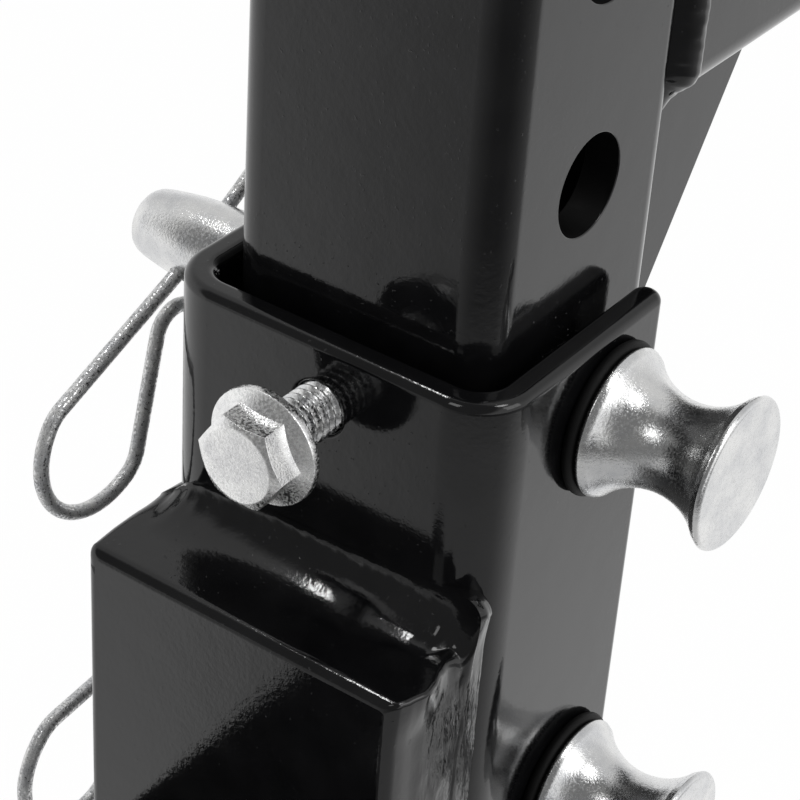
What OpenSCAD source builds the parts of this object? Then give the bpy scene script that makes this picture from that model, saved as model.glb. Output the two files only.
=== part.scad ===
// Height-adjustable drop ball mount for a 2 inch receiver.
// The shank goes into the receiver along +Y. The drop bar hangs at its front, and the collar with the
// ball platform is pinned to the bar with two cross pins. The origin is the centre of the receiver pin
// hole, on the shank's axis. Z is up, and -Y is the side of the ball.

/* [Square tube] */
// Outside width of the shank's and the drop bar's square tube
tube_w = 50.8; // [48:0.1:54]
// Wall of the tube
tube_wall = 6.35; // [4:0.05:8]
// Outer corner radius of the tube
tube_corner_r = 6.4; // [3:0.1:9]

/* [Shank] */
// From the receiver pin hole to the drop bar's axis
pin_to_bar = 185; // [150:1:260]
// From the receiver pin hole to the shank's rear end
shank_tail = 51; // [30:1:80]
// Bore for the receiver pin
receiver_hole_d = 16.7; // [14:0.1:18]

/* [Drop bar] */
// Height of the bar's top above the shank's axis
bar_rise = 32.2; // [28:0.1:60]
// From the bar's top end to the first hole, and from the last hole to its foot
bar_end = 20.6; // [15:0.1:40]
// Distance from one pin hole to the next
hole_pitch = 39.7; // [36:0.1:50]
// Number of pin holes down the bar
hole_count = 5; // [5:1:9]
// Bore of the pin holes in the bar and the collar
pin_hole_d = 17.3; // [16.6:0.1:19]

/* [Gusset] */
// Thickness of the gusset plate
gusset_t = 8; // [5:0.5:12]
// Length of the gusset along the shank's underside
gusset_reach = 78.6; // [50:0.1:100]
// Length of the gusset down the bar's back
gusset_drop = 121; // [80:0.5:135]
// Clipped inner corner that passes over the shank's weld
gusset_clip = 10; // [8:0.5:16]

/* [Welds] */
// Radius of the round bead between shank and bar
shank_bead_r = 4; // [3:0.1:4.2]
// How far that bead stands proud of the shank's sides
shank_bead_h = 2; // [1.5:0.1:2.2]
// How far the middle of that bead lies behind the bar's back
shank_bead_back = 2.5; // [1.5:0.1:3.5]
// Leg of the gusset's fillet beads
gusset_leg = 4; // [2:0.5:6]
// How far the hollow bead on the platform's top reaches out over it
top_bead_reach = 12; // [8:0.5:14]
// How far that bead rises on the collar's front
top_bead_rise = 8.4; // [6:0.1:10]
// Radius of the convex beads down the platform's sides
side_bead_r = 7.7; // [7.3:0.1:8.5]
// How far the side beads stand out past the platform's sides
side_bead_out = 3.6; // [2.5:0.1:4]
// How far the middle of a side bead's round top lies below the platform's top
side_bead_dip = 1; // [0:0.5:5]

/* [Collar] */
// Gap between the bar's sides and the collar's legs
side_gap = 2.3; // [0.5:0.1:5]
// Depth of the collar from its front face to the ends of its legs
collar_depth = 50; // [44:0.5:54]
// Wall of the collar
collar_wall = 5.3; // [4:0.1:6]
// Outer radius of the collar's bent corners
collar_corner_r = 10.2; // [8:0.1:12]
// Radius of the collar's rolled edges
edge_r = 1.8; // [0.8:0.1:1.9]
// Gap between the bar's front and the collar's front wall
front_gap = 2.8; // [1:0.1:5]
// From the collar's ends to its pin holes
collar_end = 16.2; // [13:0.1:24]
// Which hole of the bar holds the upper pin, counted from the top
upper_hole = 3; // [2:1:3]
// How many holes of the bar lie from the upper to the lower pin
holes_apart = 2; // [2:1:2]

/* [Ball platform] */
// How far the platform's sides lie inside the collar's sides
platform_inset = 1.8; // [1:0.1:3]
// Thickness of its upright plate
plate_t = 20.2; // [16:0.1:26]
// From the collar's top to the platform's top
platform_drop = 43.3; // [36:0.1:50]
// Thickness of the tongue
tongue_t = 19; // [15:0.5:25]
// From the collar's foot down to the tongue's underside
tongue_below = 16; // [6:0.5:20]
// Fillet between plate and tongue
tongue_fillet = 8; // [5:0.5:12]
// From the plate's front to the ball hole
ball_reach = 62; // [50:1:80]
// Hole for the ball's 1 inch shank
ball_hole_d = 25.8; // [19:0.1:33]
// Rounding of the platform's edges
platform_edge_r = 1.8; // [0.5:0.1:3]

/* [Pins] */
// Diameter of the pins
pin_d = 15.88; // [15:0.02:16.4]
// Diameter of the spool head's inner flange
inner_flange_d = 26; // [22:0.1:30]
// Diameter of the spool head's outer flange
outer_flange_d = 26.4; // [22:0.1:30]
// Length of the spool head
head_len = 23; // [20:0.5:30]
// Width of the inner flange's rim
inner_rim = 1.4; // [0.8:0.1:3]
// Width of the outer flange's rim
outer_rim = 1.6; // [1.2:0.1:3]
// Radius of the hollow waist of the spool
waist_r = 12.6; // [11:0.1:16]
// How far the waist is hollowed below the inner flange's edge
waist_depth = 5; // [3:0.1:6]
// Rounding of the spool's edges
spool_edge_r = 0.5; // [0.2:0.1:0.6]
// Outer diameter of the rubber ring under the head
ring_d = 29.2; // [24:0.1:32]
// Thickness of the rubber ring
ring_t = 2; // [1:0.1:4]
// How far the pin's full diameter stands out past the collar's far side
pin_out = 24; // [22:0.5:32]
// Length of the pin's tapered end
taper_len = 7.5; // [6:0.5:14]
// Diameter at the end of the taper
taper_end_d = 10.8; // [8:0.1:13]
// Radius of the round edge at the pin's tip
tip_edge_r = 2.5; // [1:0.1:3]
// Bore of the cross hole for the clip
cross_hole_d = 4; // [3.2:0.1:5]

/* [Clips] */
// Diameter of the clip's wire
wire_d = 2.8; // [2:0.1:3.4]
// From the collar's side to the clip's wire centre
clip_out = 18; // [16:0.5:20]
// How far the upper clip's straight leg points below the horizontal
upper_clip_angle = 31; // [-40:1:80]
// How far the lower clip's straight leg points below the horizontal
lower_clip_angle = 14; // [-40:1:80]
// Length of the straight leg behind the pin's axis
leg_tail = 18; // [12:0.5:24]
// Length of the straight leg from the pin's axis to its slight bend
leg_out = 2.8; // [2:0.2:6]
// Radius of that bend
leg_bend_r = 30; // [24:1:40]
// Length of the leg's outer part, from that bend to the eye
leg_reach = 34.5; // [28:0.5:40]
// Bend radius where the leg runs into the eye
eye_entry_r = 7; // [5:0.5:9]
// Bend radius of the eye
eye_r = 14.6; // [12:0.1:17]
// Bend radius where the eye runs into the bowed leg
eye_exit_r = 6.5; // [5:0.5:9]
// Length of the straight part between the eye and the knee
bow_reach = 22.5; // [20:0.5:26]
// Bend radius of the knee before the pin, and of the turned-out end
knee_r = 5; // [4:0.5:7]
// Length of the bowed leg's turned-out end
bow_tail = 5; // [3:0.5:9]

/* [Anti-rattle bolt] */
// Thread diameter of the bolt
bolt_d = 9.5; // [8:0.1:12]
// Width of the hexagon across its flats
bolt_flats = 14.3; // [12:0.1:18]
// Height of the head's hexagon above the flange's rim
bolt_head_h = 6.3; // [5:0.1:9]
// Diameter of the bolt's flange
bolt_flange_d = 20.3; // [18:0.1:24]
// Thickness of the flange at its rim
bolt_flange_t = 1.6; // [0.8:0.1:2]
// Rise of the flange's dished face from its rim to the hexagon
bolt_dish_h = 1.4; // [0.6:0.1:2.5]
// How far the flat end of the head is smaller than the hexagon, on each side
bolt_end_step = 0.5; // [0.2:0.1:1.5]
// Slope of the chamfer that takes the hexagon's corners off at that end
bolt_chamfer = 31; // [20:1:40]
// From the collar's top to the bolt's axis
bolt_drop = 12.2; // [9:0.1:13]
// How far the flange stands off the collar's front
bolt_standoff = 12.5; // [9:0.1:16]
// Chamfer at the bolt's tip
bolt_tip = 1; // [0.4:0.1:2]

/* [Clearances] */
// Gap between the bolt's tip and the bar that it steadies
tip_gap = 0.3; // [0.1:0.05:0.6]
// Radial running clearance of a pin in its rubber ring
ring_fit = 0.05; // [0.02:0.01:0.1]
// Gap between a rubber ring and the faces beside it
ring_gap = 0.15; // [0.05:0.05:0.3]
// Radial clearance of the bolt in its tapped hole
thread_fit = 0.05; // [0.02:0.01:0.1]
// Gap between the clip's bowed leg and the pin
clip_gap = 0.3; // [0.1:0.05:0.8]

/* [Hidden] */
$fn = 64;
// Overrun of a cutting shape past the face it cuts
over = 1;
black = "#1c1c1c";
zinc = "#c9cbcc";
rubber = "#111111";

tube_h = tube_w / 2;
collar_w = tube_w + 2 * side_gap + 2 * collar_wall;
platform_w = collar_w - 2 * platform_inset;
collar_h = 2 * collar_end + holes_apart * hole_pitch;
bar_len = 2 * bar_end + (hole_count - 1) * hole_pitch;
first_hole_z = bar_rise - bar_end;
upper_pin_z = first_hole_z - (upper_hole - 1) * hole_pitch;
lower_pin_z = upper_pin_z - holes_apart * hole_pitch;
collar_top = upper_pin_z + collar_end;
collar_foot = collar_top - collar_h;
bar_front = -tube_h;
collar_front = bar_front - front_gap - collar_wall;
collar_side = collar_w / 2;
// Centre of the collar's bent corners, from the bar's axis
bend_x = collar_side - collar_corner_r;
bend_y = collar_front + collar_corner_r;
leg_end = collar_front + collar_depth;
plate_front = collar_front - plate_t;
platform_top = collar_top - platform_drop;
platform_foot = collar_foot - tongue_below;
ball_y = plate_front - ball_reach;
bolt_z = collar_top - bolt_drop;
head_x = collar_side + ring_t + 2 * ring_gap;
clip_x = -collar_side - clip_out;
// Radius on which the clip's bowed leg lies round the pin
hug_r = pin_d / 2 + clip_gap + wire_d / 2;

// Moves its children from the drop bar's axis to the part's frame
module at_bar() {
    translate([0, -pin_to_bar, 0]) children();
}

// Square with round corners, centred on the origin
module round_square(w, r) {
    square([w - 2 * r, w], center = true);
    square([w, w - 2 * r], center = true);
    for (x = [-1, 1], y = [-1, 1]) {
        translate([x * (w / 2 - r), y * (w / 2 - r)]) circle(r);
    }
}

// Section of the square tube
module tube_section() {
    difference() {
        round_square(tube_w, tube_corner_r);
        round_square(tube_w - 2 * tube_wall, max(0.5, tube_corner_r - tube_wall / 2));
    }
}

// Cylinder along X with its middle at the given point
module cross_bore(y, z, d, length) {
    translate([0, y, z]) rotate([0, 90, 0]) cylinder(d = d, h = length, center = true);
}

module shank() {
    color(black) difference() {
        translate([0, shank_tail, 0]) rotate([90, 0, 0])
            linear_extrude(pin_to_bar + shank_tail - tube_h) tube_section();
        cross_bore(0, 0, receiver_hole_d, tube_w + 2 * over);
    }
}

module drop_bar() {
    color(black) at_bar() difference() {
        translate([0, 0, bar_rise - bar_len]) linear_extrude(bar_len) tube_section();
        for (i = [0 : hole_count - 1]) {
            cross_bore(0, first_hole_z - i * hole_pitch, pin_hole_d, tube_w + 2 * over);
        }
    }
}

// Round bead that follows the shank's outline where it meets the bar, and the fill of the grooves that the
// bar's round corners leave in front of it
module shank_weld() {
    path_h = tube_h + shank_bead_h - shank_bead_r;
    path_r = tube_corner_r + shank_bead_h - shank_bead_r;
    color(black) at_bar() difference() {
        union() {
            translate([0, tube_h + shank_bead_back, 0]) rotate([90, 0, 0]) for (a = [0 : 90 : 270]) {
                rotate([0, 0, a]) {
                    translate([path_h, 0, 0]) rotate([90, 0, 0])
                        cylinder(r = shank_bead_r, h = 2 * (path_h - path_r), center = true, $fn = 32);
                    translate([path_h - path_r, path_h - path_r, 0])
                        bead_corner(path_r, shank_bead_r);
                }
            }
            fill_r = tube_corner_r - shank_bead_h;
            for (side = [-1, 1]) translate([side * (tube_h - fill_r), tube_h - shank_bead_back, 0])
                cylinder(r = fill_r, h = 2 * (path_h - path_r), center = true, $fn = 48);
        }
        translate([0, 0, -tube_w]) linear_extrude(2 * tube_w) round_square(tube_w, tube_corner_r);
        translate([0, tube_h + 3 * shank_bead_r, 0]) rotate([90, 0, 0])
            linear_extrude(3 * shank_bead_r) round_square(tube_w, tube_corner_r);
    }
}

// Quarter turn of a round bead
module bead_corner(path_r, bead_r) {
    rotate_extrude(angle = 90, $fn = 48) translate([path_r, 0]) circle(bead_r, $fn = 32);
}

// Outline of the gusset in the plane of Y and Z, from the bar's axis
module gusset_outline() {
    polygon([
        [tube_h, -tube_h - gusset_clip],
        [tube_h, -tube_h - gusset_drop],
        [tube_h + gusset_reach, -tube_h],
        [tube_h + gusset_clip, -tube_h]
    ]);
}

// Stands a shape drawn in the plane of Y and Z upright, centred on X
module upright(width) {
    rotate([90, 0, 90]) linear_extrude(width, center = true) children();
}

module gusset() {
    color(black) at_bar() upright(gusset_t) gusset_outline();
}

// Fillet bead with a straight face, drawn in the corner of its first quadrant
module fillet_section(leg) {
    polygon([[0, 0], [leg, 0], [0, leg]]);
}

module gusset_weld() {
    drop_len = gusset_drop - gusset_clip - 2 * gusset_leg;
    reach_len = gusset_reach - gusset_clip - 2 * gusset_leg;
    color(black) at_bar() for (side = [0, 1]) {
        mirror([side, 0, 0]) translate([gusset_t / 2, 0, 0]) {
            translate([0, tube_h, -tube_h - gusset_clip - drop_len])
                linear_extrude(drop_len) fillet_section(gusset_leg);
            translate([0, tube_h + gusset_clip, -tube_h]) rotate([-90, 0, 0])
                linear_extrude(reach_len) fillet_section(gusset_leg);
        }
    }
}

// Section of the collar's wall with its rolled edges, X across the wall and Y up, its outer face at X = 0
module wall_section() {
    w = collar_wall;
    translate([-w, edge_r]) square([w, collar_h - 2 * edge_r]);
    translate([edge_r - w, 0]) square([w - 2 * edge_r, collar_h]);
    for (x = [edge_r - w, -edge_r], y = [edge_r, collar_h - edge_r]) {
        translate([x, y]) circle(edge_r, $fn = 48);
    }
}

// Right half of the collar: half of the front wall, the bent corner, the leg and its rounded end
module collar_half() {
    translate([0, collar_front, 0]) rotate([90, 0, 90])
        linear_extrude(bend_x) mirror([1, 0, 0]) wall_section();
    translate([bend_x, bend_y, 0]) rotate([0, 0, -90])
        rotate_extrude(angle = 90) translate([collar_corner_r, 0]) wall_section();
    leg_len = leg_end - collar_wall / 2 - bend_y;
    translate([collar_side, bend_y + leg_len, 0]) rotate([90, 0, 0]) linear_extrude(leg_len) wall_section();
    translate([collar_side - collar_wall / 2, bend_y + leg_len, 0]) rotate_extrude(angle = 180)
        intersection() {
            translate([collar_wall / 2, 0]) wall_section();
            square([collar_wall, collar_h]);
        }
}

module collar() {
    color(black) at_bar() difference() {
        translate([0, 0, collar_foot]) {
            collar_half();
            mirror([1, 0, 0]) collar_half();
        }
        cross_bore(0, upper_pin_z, pin_hole_d, collar_w + 2 * over);
        cross_bore(0, lower_pin_z, pin_hole_d, collar_w + 2 * over);
        translate([0, collar_front + collar_wall + over, bolt_z]) rotate([90, 0, 0])
            cylinder(d = bolt_d + 2 * thread_fit, h = collar_wall + 2 * over);
    }
}

// Outside of the collar in plan, without its legs' rounded ends
module collar_plan() {
    translate([0, bend_y + collar_w / 2 - collar_corner_r]) round_square(collar_w, collar_corner_r);
}

// Side view of the platform: upright plate, tongue and the fillet between them, with rounded top edges
module platform_profile() {
    r = platform_edge_r;
    tip = ball_y - platform_w / 2;
    difference() {
        translate([tip, platform_foot]) square([collar_front - tip, platform_top - platform_foot]);
        // Space over the tongue, with the fillet left standing
        difference() {
            translate([tip - over, platform_foot + tongue_t])
                square([plate_front - tip + over, platform_top - platform_foot]);
            difference() {
                translate([plate_front - tongue_fillet, platform_foot + tongue_t]) square(tongue_fillet);
                translate([plate_front - tongue_fillet, platform_foot + tongue_t + tongue_fillet])
                    circle(tongue_fillet);
            }
        }
        // Rounding of the plate's upper front edge
        difference() {
            translate([plate_front - over, platform_top - r]) square([r + over, r + over]);
            translate([plate_front + r, platform_top - r]) circle(r, $fn = 32);
        }
    }
}

// The platform in plan: straight sides and a round nose about the ball hole
module platform_plan() {
    translate([-platform_w / 2, ball_y]) square([platform_w, collar_front - ball_y]);
    translate([0, ball_y]) circle(d = platform_w, $fn = 96);
}

module ball_platform() {
    color(black) at_bar() difference() {
        intersection() {
            upright(platform_w) platform_profile();
            translate([0, 0, platform_foot - over])
                linear_extrude(platform_top - platform_foot + 2 * over) platform_plan();
        }
        translate([0, ball_y, platform_foot - over]) cylinder(d = ball_hole_d, h = tongue_t + 2 * over);
    }
}

// Beads between the platform and the collar: a hollow one along the top and a full one down each side
module platform_weld() {
    // The hollow is an arc that runs out level on the platform's top
    hollow_r = (pow(top_bead_reach, 2) + pow(top_bead_rise, 2)) / (2 * top_bead_rise);
    bead_x = platform_w / 2 + side_bead_out - side_bead_r;
    bead_top = platform_top - side_bead_dip;
    bead_foot = collar_foot + side_bead_r;
    color(black) at_bar() difference() {
        union() {
            translate([0, collar_front, platform_top]) upright(2 * bead_x + edge_r) difference() {
                translate([-top_bead_reach, 0]) square([top_bead_reach + edge_r, top_bead_rise]);
                translate([-top_bead_reach, hollow_r]) circle(hollow_r, $fn = 96);
            }
            for (side = [-1, 1]) translate([side * bead_x, collar_front, 0]) {
                translate([0, 0, bead_foot]) cylinder(r = side_bead_r, h = bead_top - bead_foot);
                translate([0, 0, bead_top]) sphere(side_bead_r);
                translate([0, 0, bead_foot]) sphere(side_bead_r);
            }
        }
        translate([0, 0, collar_foot - over]) linear_extrude(collar_h) collar_plan();
        upright(platform_w) platform_profile();
    }
}

// Half section of a pin, X out from its axis and Y along it, with the collar's side at Y = 0
module pin_section() {
    e = spool_edge_r;
    inner_r = inner_flange_d / 2;
    outer_r = outer_flange_d / 2;
    base = head_x - collar_side;
    waist_mid = base + (head_len + inner_rim - outer_rim) / 2;
    far = -2 * collar_side - pin_out;
    tip_x = taper_end_d / 2 - tip_edge_r;
    // Shaft, taper and round tip
    polygon(concat(
        [for (a = [-90 : 15 : 0]) [tip_x + tip_edge_r * cos(a), far - taper_len + tip_edge_r * sin(a)]],
        [[pin_d / 2, far], [pin_d / 2, base + e], [0, base + e], [0, far - taper_len - tip_edge_r]]
    ));
    // Spool head, hollowed by the waist
    difference() {
        union() {
            translate([0, base]) square([inner_r - e, head_len / 2]);
            translate([0, base + e]) square([inner_r, head_len / 2]);
            translate([inner_r - e, base + e]) circle(e, $fn = 24);
            translate([0, base + head_len / 2]) square([outer_r - e, head_len / 2]);
            translate([0, base + head_len / 2]) square([outer_r, head_len / 2 - e]);
            translate([outer_r - e, base + head_len - e]) circle(e, $fn = 24);
        }
        translate([inner_r - waist_depth + waist_r, waist_mid]) circle(waist_r, $fn = 96);
    }
}

// Turned pin along X at the given height, with its cross hole at the clip's angle
module pin(z, clip_angle) {
    color(zinc) at_bar() difference() {
        translate([collar_side, 0, z]) rotate([0, 90, 0]) rotate_extrude() pin_section();
        translate([clip_x, 0, z]) rotate([clip_angle, 0, 0]) rotate([90, 0, 0])
            cylinder(d = cross_hole_d, h = 2 * pin_d, center = true, $fn = 32);
    }
}

module pin_ring(z) {
    color(rubber) at_bar() translate([collar_side + ring_gap, 0, z]) rotate([0, 90, 0]) rotate_extrude()
        translate([pin_d / 2 + ring_fit, 0]) {
            wall = (ring_d - pin_d) / 2 - ring_fit;
            square([wall - ring_t / 2, ring_t]);
            translate([wall - ring_t / 2, ring_t / 2]) circle(d = ring_t, $fn = 32);
        }
}

module upper_pin() { pin(upper_pin_z, upper_clip_angle); }
module lower_pin() { pin(lower_pin_z, lower_clip_angle); }
module upper_pin_ring() { pin_ring(upper_pin_z); }
module lower_pin_ring() { pin_ring(lower_pin_z); }

// Bends of a clip's wire, from the tail of its straight leg: straight length, then bend radius and turn
BENDS = [
    [leg_tail + leg_out, leg_bend_r, -7.5],
    [leg_reach, eye_entry_r, 34],
    [0, eye_r, 152.5],
    [0, eye_exit_r, 46],
    [bow_reach, knee_r, -97],
    [0, hug_r + wire_d / 2, 92],
    [0, knee_r, -62],
    [bow_tail, 0, 0]
];
// Largest turn from one ring of the wire to the next, and the wire's sides
turn_step = 9;
wire_sides = 12;

function along(a) = [cos(a), sin(a)];
function left_of(a) = [-sin(a), cos(a)];

// Stations of one bend that starts at point p with heading a, each a point and a heading
function bend_stations(bend, p, a) =
    let(
        q = p + bend[0] * along(a),
        n = ceil(abs(bend[2]) / turn_step),
        r = sign(bend[2]) * bend[1],
        middle = q + r * left_of(a)
    )
    [for (k = [bend[0] > 0 ? 0 : 1 : n])
        let(b = n > 0 ? a + bend[2] * k / n : a)
        [middle - r * left_of(b), b]
    ];

// Stations of the bends from number i on
function wire_stations(i, p, a) =
    i == len(BENDS) ? [] :
    let(
        now = bend_stations(BENDS[i], p, a),
        last = now[len(now) - 1]
    )
    concat(now, wire_stations(i + 1, last[0], last[1]));

// The bent wire in the plane of X and Y, with the tail of its straight leg at the origin
module wire() {
    stations = concat([[[0, 0], 0]], wire_stations(0, [0, 0], 0));
    last = len(stations) - 1;
    points = [for (s = stations, j = [0 : wire_sides - 1])
        let(a = 360 * j / wire_sides, out = s[0] + wire_d / 2 * cos(a) * left_of(s[1]))
        [out.x, out.y, wire_d / 2 * sin(a)]
    ];
    sides = [for (i = [0 : last - 1], j = [0 : wire_sides - 1])
        let(k = (j + 1) % wire_sides, here = i * wire_sides, next = here + wire_sides)
        [here + j, here + k, next + k, next + j]
    ];
    ends = [
        [for (j = [wire_sides - 1 : -1 : 0]) j],
        [for (j = [0 : wire_sides - 1]) last * wire_sides + j]
    ];
    polyhedron(points, concat(sides, ends));
}

// Spring clip whose straight leg passes through the pin's cross hole, in a plane across the pin
module clip(z, angle) {
    color(zinc) at_bar() translate([clip_x, 0, z]) rotate([angle, 0, 0]) {
        // The clip is bent in the plane of Y and Z, with its eye towards -Y and its bowed leg below
        rotate([0, 90, 0]) rotate([0, 0, -90]) translate([-leg_tail, 0, 0]) wire();
    }
}

module upper_clip() { clip(upper_pin_z, upper_clip_angle); }
module lower_clip() { clip(lower_pin_z, lower_clip_angle); }

// Hexagon prism of the head with its corners chamfered off towards the end face
module bolt_hex() {
    intersection() {
        cylinder(d = bolt_flats / cos(30), h = bolt_head_h, $fn = 6);
        rotate_extrude() {
            rise = (bolt_flats / cos(30) - bolt_flats) / 2 + bolt_end_step;
            polygon([
                [0, 0],
                [bolt_flats, 0],
                [bolt_flats / 2 + rise, bolt_head_h - tan(bolt_chamfer) * (rise + bolt_end_step)],
                [bolt_flats / 2 - bolt_end_step, bolt_head_h],
                [0, bolt_head_h]
            ]);
        }
    }
}

// Flange bolt through the collar's front wall, its tip close to the bar's front
module anti_rattle_bolt() {
    flange_back = collar_front - bolt_standoff;
    shaft = bar_front - tip_gap - flange_back;
    color(zinc) at_bar() translate([0, flange_back, bolt_z]) rotate([90, 0, 0]) {
        rotate_extrude() {
            r = bolt_flange_d / 2;
            dish = bolt_flange_t + bolt_dish_h;
            // Rim and the dished cone above it
            polygon([[0, 0], [r, 0], [r, bolt_flange_t], [bolt_flats / 2, dish], [0, dish]]);
            polygon([
                [0, over],
                [0, -shaft],
                [bolt_d / 2 - bolt_tip, -shaft],
                [bolt_d / 2, bolt_tip - shaft],
                [bolt_d / 2, over]
            ]);
        }
        translate([0, 0, bolt_flange_t]) bolt_hex();
    }
}

shank();
drop_bar();
shank_weld();
gusset();
gusset_weld();
collar();
ball_platform();
platform_weld();
anti_rattle_bolt();
upper_pin();
upper_pin_ring();
upper_clip();
lower_pin();
lower_pin_ring();
lower_clip();
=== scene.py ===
import math

import bmesh
import bpy
from mathutils import Matrix, Vector, noise


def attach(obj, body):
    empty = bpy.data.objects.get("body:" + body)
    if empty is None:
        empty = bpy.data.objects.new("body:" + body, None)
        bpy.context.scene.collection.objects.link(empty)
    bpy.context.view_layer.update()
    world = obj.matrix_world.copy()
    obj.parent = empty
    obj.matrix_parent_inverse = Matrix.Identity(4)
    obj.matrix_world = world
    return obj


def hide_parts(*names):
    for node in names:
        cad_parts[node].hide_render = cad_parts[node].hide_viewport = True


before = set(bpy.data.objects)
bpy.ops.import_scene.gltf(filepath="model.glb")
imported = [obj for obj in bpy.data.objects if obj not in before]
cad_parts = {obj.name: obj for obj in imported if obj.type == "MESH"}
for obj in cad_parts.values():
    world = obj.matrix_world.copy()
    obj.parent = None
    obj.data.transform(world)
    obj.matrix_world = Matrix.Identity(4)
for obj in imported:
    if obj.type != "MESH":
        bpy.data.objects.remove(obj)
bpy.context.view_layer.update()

# The view. The camera stands in front of the mount, to its right and above it, and looks down at the collar
# through a long lens. Angles in degrees, places in metres in the part's own frame.
azimuth, elevation, roll = (math.radians(angle) for angle in (33.631, 34.144, 4.089))
aim = Vector((-0.006814, -0.185, -0.08254))
reach = 0.424776
towards_lens = Vector((
    math.sin(azimuth) * math.cos(elevation),
    -math.cos(azimuth) * math.cos(elevation),
    math.sin(elevation),
))
level = Vector((math.cos(azimuth), math.sin(azimuth), 0))
upright = towards_lens.cross(level)
frame_right = level * math.cos(roll) + upright * math.sin(roll)
frame_up = upright * math.cos(roll) - level * math.sin(roll)
lens = bpy.data.cameras.new("camera")
lens.sensor_width = 36
lens.lens = 110.74
lens.clip_start = 0.02
camera = bpy.data.objects.new("camera", lens)
camera.matrix_world = Matrix.Translation(aim + reach * towards_lens) @ Matrix(
    (frame_right, frame_up, towards_lens)
).transposed().to_4x4()
bpy.context.scene.collection.objects.link(camera)
bpy.context.scene.camera = camera
bpy.context.scene.view_settings.view_transform = "Standard"


# The studio. A tent of white cloth, open in front and overhead, surrounds the mount and mirrors in its gloss paint.
# Soft boxes above, in front and on the right brighten the zinc, a narrow strip lamp puts the thin streaks on the
# rounded edges, and a floor lies well below the hitch: white to the camera, while the glow that the gloss paint
# mirrors from it is painted shade, darker towards the camera, and painted light, brighter near the mount.
def srgb(code):
    """Linear colour of an sRGB hex value such as #c8c8c4."""
    parts = [int(code[i:i + 2], 16) / 255 for i in (1, 3, 5)]
    return [p / 12.92 if p <= 0.04045 else ((p + 0.055) / 1.055) ** 2.4 for p in parts] + [1]


def add_node(tree, kind, settings=(), links=()):
    """A node with its settings (inputs by name or number, properties by name) and the sockets linked into it."""
    made = tree.nodes.new(kind)
    for key, value in dict(settings).items():
        if isinstance(key, int) or key in made.inputs:
            made.inputs[key].default_value = value
        else:
            setattr(made, key, value)
    for key, source in dict(links).items():
        tree.links.new(source, made.inputs[key])
    return made


def looked_at(tree, path):
    """1 for what the camera sees, straight, in a mirror or through glass, and 0 for what only lights the mount."""
    seen = path.outputs["Is Camera Ray"]
    for kind in ("Is Glossy Ray", "Is Transmission Ray"):
        seen = add_node(tree, "ShaderNodeMath", {"operation": "MAXIMUM"},
                        {0: seen, 1: path.outputs[kind]}).outputs[0]
    return seen


tent = bpy.data.worlds.new("white_tent")
bpy.context.scene.world = tent
tent.use_nodes = True
tree = tent.node_tree
tree.nodes.clear()
path = add_node(tree, "ShaderNodeLightPath")
seen = looked_at(tree, path)
fill = add_node(tree, "ShaderNodeBackground", {"Color": srgb("#ffffff"), "Strength": 0.8})
white = add_node(tree, "ShaderNodeBackground", {"Color": srgb("#ffffff"), "Strength": 1})
dark = add_node(tree, "ShaderNodeBackground", {"Color": srgb("#7c7c7c"), "Strength": 1})
# The openings: the way to their middle, where they end and where they are darkest (as cosines), and how dark they are
lit = None
way = add_node(tree, "ShaderNodeTexCoord").outputs["Generated"]
for middle, ends, full, share in (
    ((0.10, -0.80, 0.59), 0.45, 0.68, 1.0),
    ((-0.1, 0.4, 0.92), 0.3, 0.8, 0.4),
):
    near = add_node(tree, "ShaderNodeVectorMath",
                    {"operation": "DOT_PRODUCT", 1: Vector(middle).normalized()}, {0: way})
    kept = add_node(tree, "ShaderNodeMapRange",
                    {"interpolation_type": "SMOOTHSTEP", "From Min": ends, "From Max": full, "To Min": 1,
                     "To Max": 1 - share}, {"Value": near.outputs["Value"]}).outputs["Result"]
    lit = kept if lit is None else add_node(
        tree, "ShaderNodeMath", {"operation": "MULTIPLY"}, {0: lit, 1: kept}).outputs[0]
# The camera itself looks at plain white
lit = add_node(tree, "ShaderNodeMath", {"operation": "MAXIMUM"}, {0: lit, 1: path.outputs["Is Camera Ray"]})
cloth = add_node(tree, "ShaderNodeMixShader", {}, {0: lit.outputs[0], 1: dark.outputs[0], 2: white.outputs[0]})
mixed = add_node(tree, "ShaderNodeMixShader", {}, {0: seen, 1: fill.outputs[0], 2: cloth.outputs[0]})
add_node(tree, "ShaderNodeOutputWorld", {}, {"Surface": mixed.outputs[0]})

# Each lamp: where it stands from the mount, its width and height, and how bright its face is against the tent
for name, towards, away, wide, tall, bright in (
    ("strip_lamp", (-0.395, -0.06, 0.915), 1.2, 0.30, 0.04, 34),
    ("soft_box_above", (0.55, 0.04, 0.84), 1.2, 0.28, 0.28, 6),
    ("soft_box_front", (-0.08, -0.72, 0.69), 1.2, 0.30, 0.42, 2.6),
    ("soft_box_right", (0.86, 0.10, 0.42), 1.1, 0.5, 0.5, 1.6),
):
    lamp = bpy.data.lights.new(name, "AREA")
    lamp.shape = "RECTANGLE"
    lamp.size, lamp.size_y = wide, tall
    lamp.energy = bright * math.pi * wide * tall
    holder = bpy.data.objects.new(name, lamp)
    holder.location = aim + away * Vector(towards).normalized()
    holder.rotation_euler = (-Vector(towards)).to_track_quat("-Z", "Y").to_euler()
    bpy.context.scene.collection.objects.link(holder)

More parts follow.
